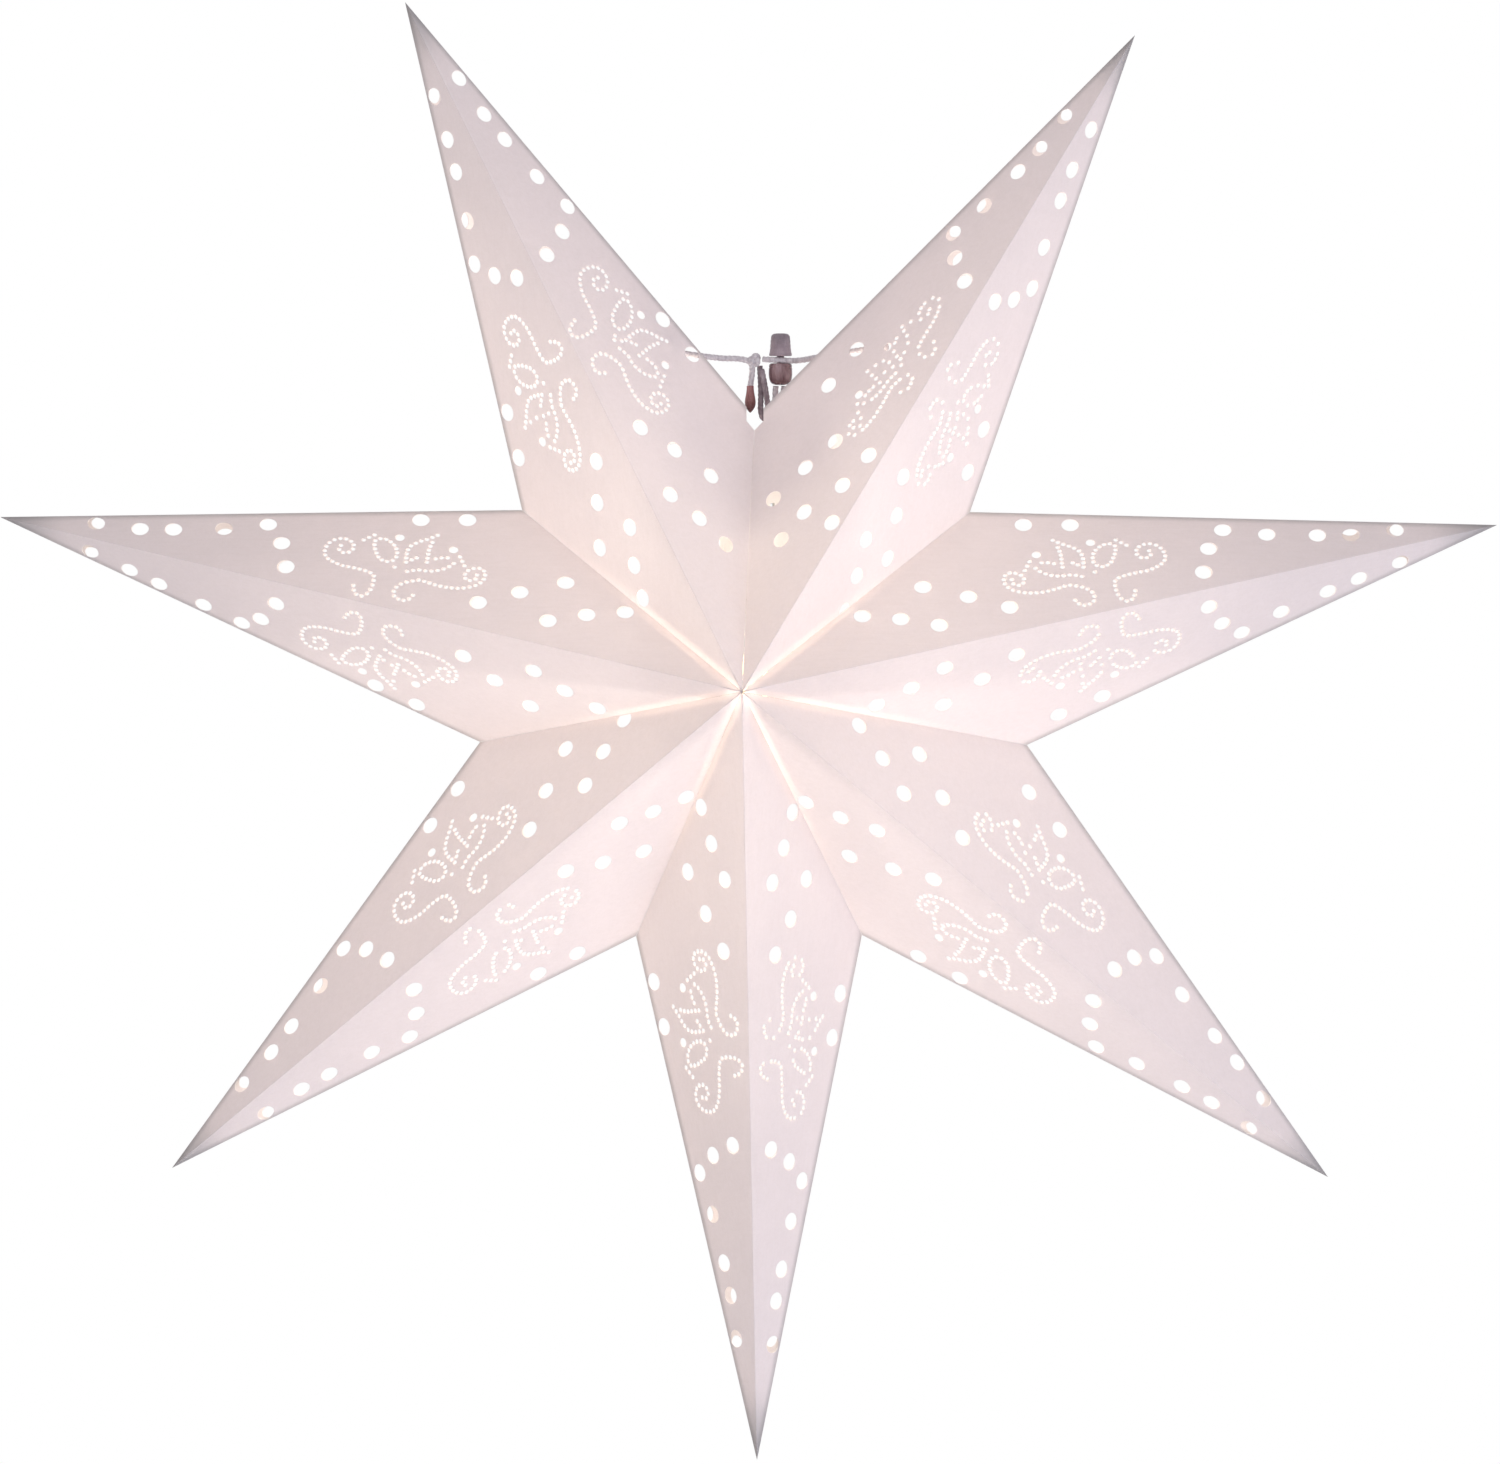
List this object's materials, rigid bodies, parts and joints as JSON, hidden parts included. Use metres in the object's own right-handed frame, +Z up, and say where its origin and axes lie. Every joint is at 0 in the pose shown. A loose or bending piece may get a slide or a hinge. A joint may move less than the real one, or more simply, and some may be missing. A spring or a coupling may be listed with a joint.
{
  "type": "paper star lantern",
  "caption": "Folding pendant lantern: a pierced paper star with hollow points round a small screw-cap lampholder and globe bulb, with a tie cord at the open top seam.",
  "frame": {"origin": "mouth of the cord entry bore on top of the lampholder, on the line that the flex hangs on", "axes": "+Z up along the flex; the star's front faces -Y, +X to the right seen from the front; the fold axis runs along Y, 99 mm below the origin"},
  "size_m": [0.5988, 0.14, 0.5833],
  "materials": {
    "paper": "translucent matt paper, lit from inside",
    "string": "twisted cotton string",
    "aglet": "reddish brown, glossy",
    "lock_barrel": "reddish brown, glossy",
    "lock_button": "mauve grey, satin",
    "spring_steel": "spring wire",
    "holder": "white moulded plastic",
    "steel": "zinc plated",
    "porcelain": "unglazed steatite",
    "brass": "pressed brass",
    "cap_metal": "nickel plated thread",
    "black_glass": "black vitrite",
    "glass": "clear globe",
    "filament": "phosphor coated strips, lit"
  },
  "bodies": {
    "lamp": {"point_bottom": "paper", "cord_grip": "holder", "grip_screw": "steel", "holder_cap": "holder", "holder_body": "holder", "contact_carrier": "porcelain", "terminal_screws": "steel", "centre_contact": "brass", "screw_shell": "brass"},
    "top_left": {"point_top_left": "paper"},
    "top_right": {"point_top_right": "paper"},
    "right": {"point_right": "paper"},
    "lower_right": {"point_lower_right": "paper"},
    "lower_left": {"point_lower_left": "paper"},
    "left": {"point_left": "paper"},
    "tie_left": {"tie_string_left": "string", "stop_knot_left": "string", "tie_knot": "string", "aglet": "aglet", "tie_loop": "string"},
    "tie_right": {"tie_string_right": "string", "stop_knot_right": "string", "toggle_barrel": "lock_barrel", "toggle_tails": "string", "toggle_spring": "spring_steel"},
    "button": {"toggle_button": "lock_button"},
    "bulb": {"bulb_tip_contact": "cap_metal", "bulb_insulator": "black_glass", "bulb_cap": "cap_metal", "bulb_glass": "glass", "bulb_stem": "glass", "led_filaments": "filament", "filament_wires": "steel"}
  },
  "joints": [
    {"name": "fold", "type": "hinge", "parent": "lamp", "child": "top_left", "pos_m": [-0.0052, 0, -0.099], "axis": [0, -1, 0], "range_deg": [0, 148.5], "deforming": ["point_top_left", "point_bottom"]},
    {"name": "fold_left", "type": "hinge", "parent": "lamp", "child": "left", "pos_m": [-0.0052, 0, -0.099], "axis": [0, -1, 0], "range_deg": [0, 100.05], "deforming": ["point_left"]},
    {"name": "fold_lower_left", "type": "hinge", "parent": "lamp", "child": "lower_left", "pos_m": [-0.0052, 0, -0.099], "axis": [0, -1, 0], "range_deg": [0, 49.05], "deforming": ["point_lower_left"]},
    {"name": "fold_top_right", "type": "hinge", "parent": "lamp", "child": "top_right", "pos_m": [-0.0052, 0, -0.099], "axis": [0, 1, 0], "range_deg": [0, 141.45], "deforming": ["point_top_right"]},
    {"name": "fold_right", "type": "hinge", "parent": "lamp", "child": "right", "pos_m": [-0.0052, 0, -0.099], "axis": [0, 1, 0], "range_deg": [0, 97.05], "deforming": ["point_right"]},
    {"name": "fold_lower_right", "type": "hinge", "parent": "lamp", "child": "lower_right", "pos_m": [-0.0052, 0, -0.099], "axis": [0, 1, 0], "range_deg": [0, 47.15], "deforming": ["point_lower_right"]},
    {"name": "tie_left_shift", "type": "slide", "parent": "top_left", "child": "tie_left", "axis": [-0.8986, 0, -0.4389], "range_m": [0, 0.038]},
    {"name": "tie_right_shift", "type": "slide", "parent": "top_right", "child": "tie_right", "axis": [0.8582, 0, -0.5133], "range_m": [0, 0.0301]},
    {"name": "lock_button", "type": "slide", "parent": "tie_right", "child": "button", "axis": [0, 0, 1], "range_m": [0, 0.0035], "stiffness_N_per_m": 300, "springref_m": -0.003, "deforming": ["toggle_spring"]},
    {"name": "bulb_out", "type": "slide", "parent": "lamp", "child": "bulb", "axis": [0, 0, -1], "range_m": [0, 0.022]}
  ],
  "couplings": [
    {"joint": "fold_left", "follows": "fold", "ratio": 0.6734},
    {"joint": "fold_lower_left", "follows": "fold", "ratio": 0.32997},
    {"joint": "fold_top_right", "follows": "fold", "ratio": 0.95219},
    {"joint": "fold_right", "follows": "fold", "ratio": 0.6532},
    {"joint": "fold_lower_right", "follows": "fold", "ratio": 0.31717},
    {"joint": "tie_left_shift", "follows": "fold", "m_per_rad": 0.014623},
    {"joint": "tie_right_shift", "follows": "fold", "m_per_rad": 0.011575}
  ]
}
